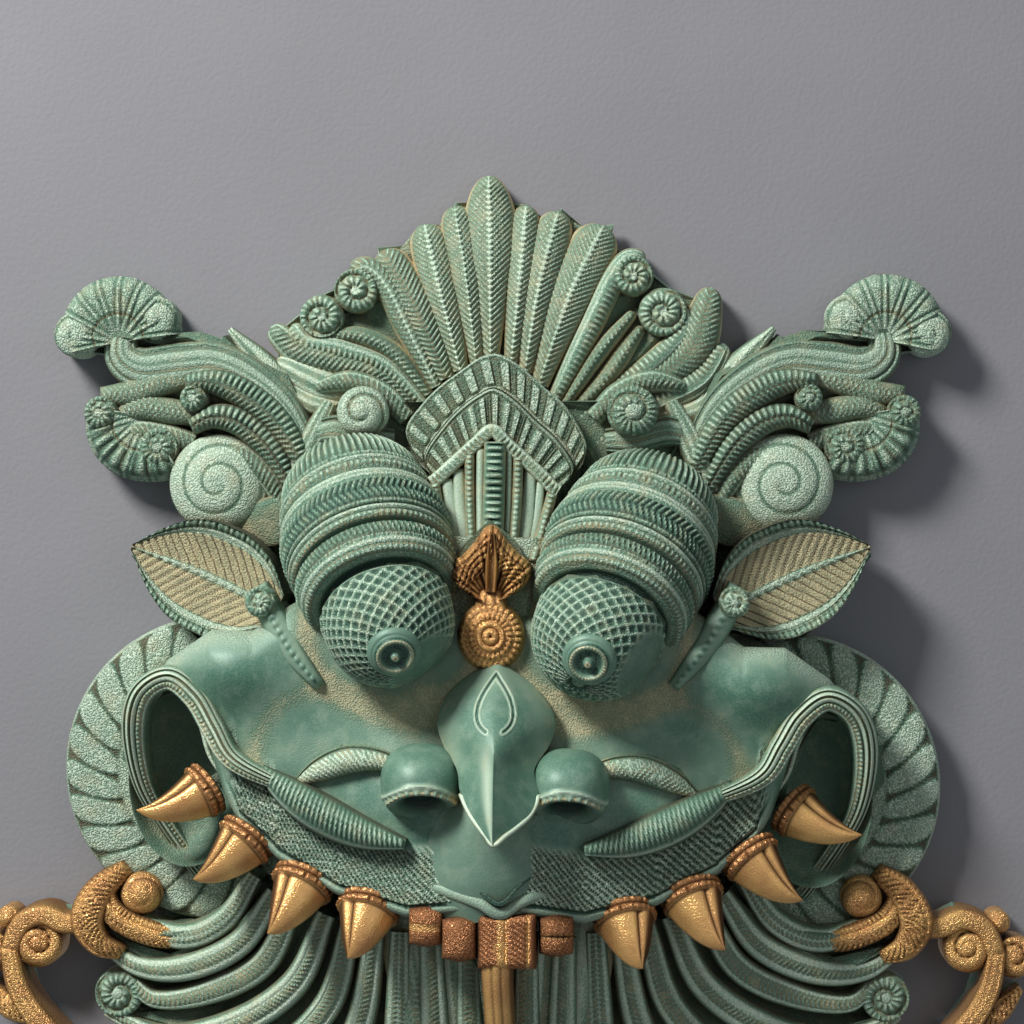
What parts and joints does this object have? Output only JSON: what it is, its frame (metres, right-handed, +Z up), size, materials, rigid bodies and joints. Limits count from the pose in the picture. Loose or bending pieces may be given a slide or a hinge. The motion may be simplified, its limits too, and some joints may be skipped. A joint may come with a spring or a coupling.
{
  "type": "kirtimukha wall mask",
  "caption": "Cast guardian face for a wall: fanned crest, horned scrolls, ringed bulging eyes, wide fanged mouth and a beard of curling locks, verdigris with gilt details.",
  "frame": {"origin": "point on the flat back of the crest plate, behind the crown, where the mask hangs on its wall", "axes": "+Z up, +Y into the wall, -Y the way the face looks, +X to the right of a viewer who faces the mask"},
  "size_m": [0.526, 0.1288, 0.503],
  "materials": {
    "verdigris": "green verdigris over brass, matt, with pale dust in the recesses",
    "gilding": "worn gilt and bare copper, half gloss"
  },
  "bodies": {
    "root": {"kirtimukha_mask": "verdigris"}
  },
  "joints": []
}
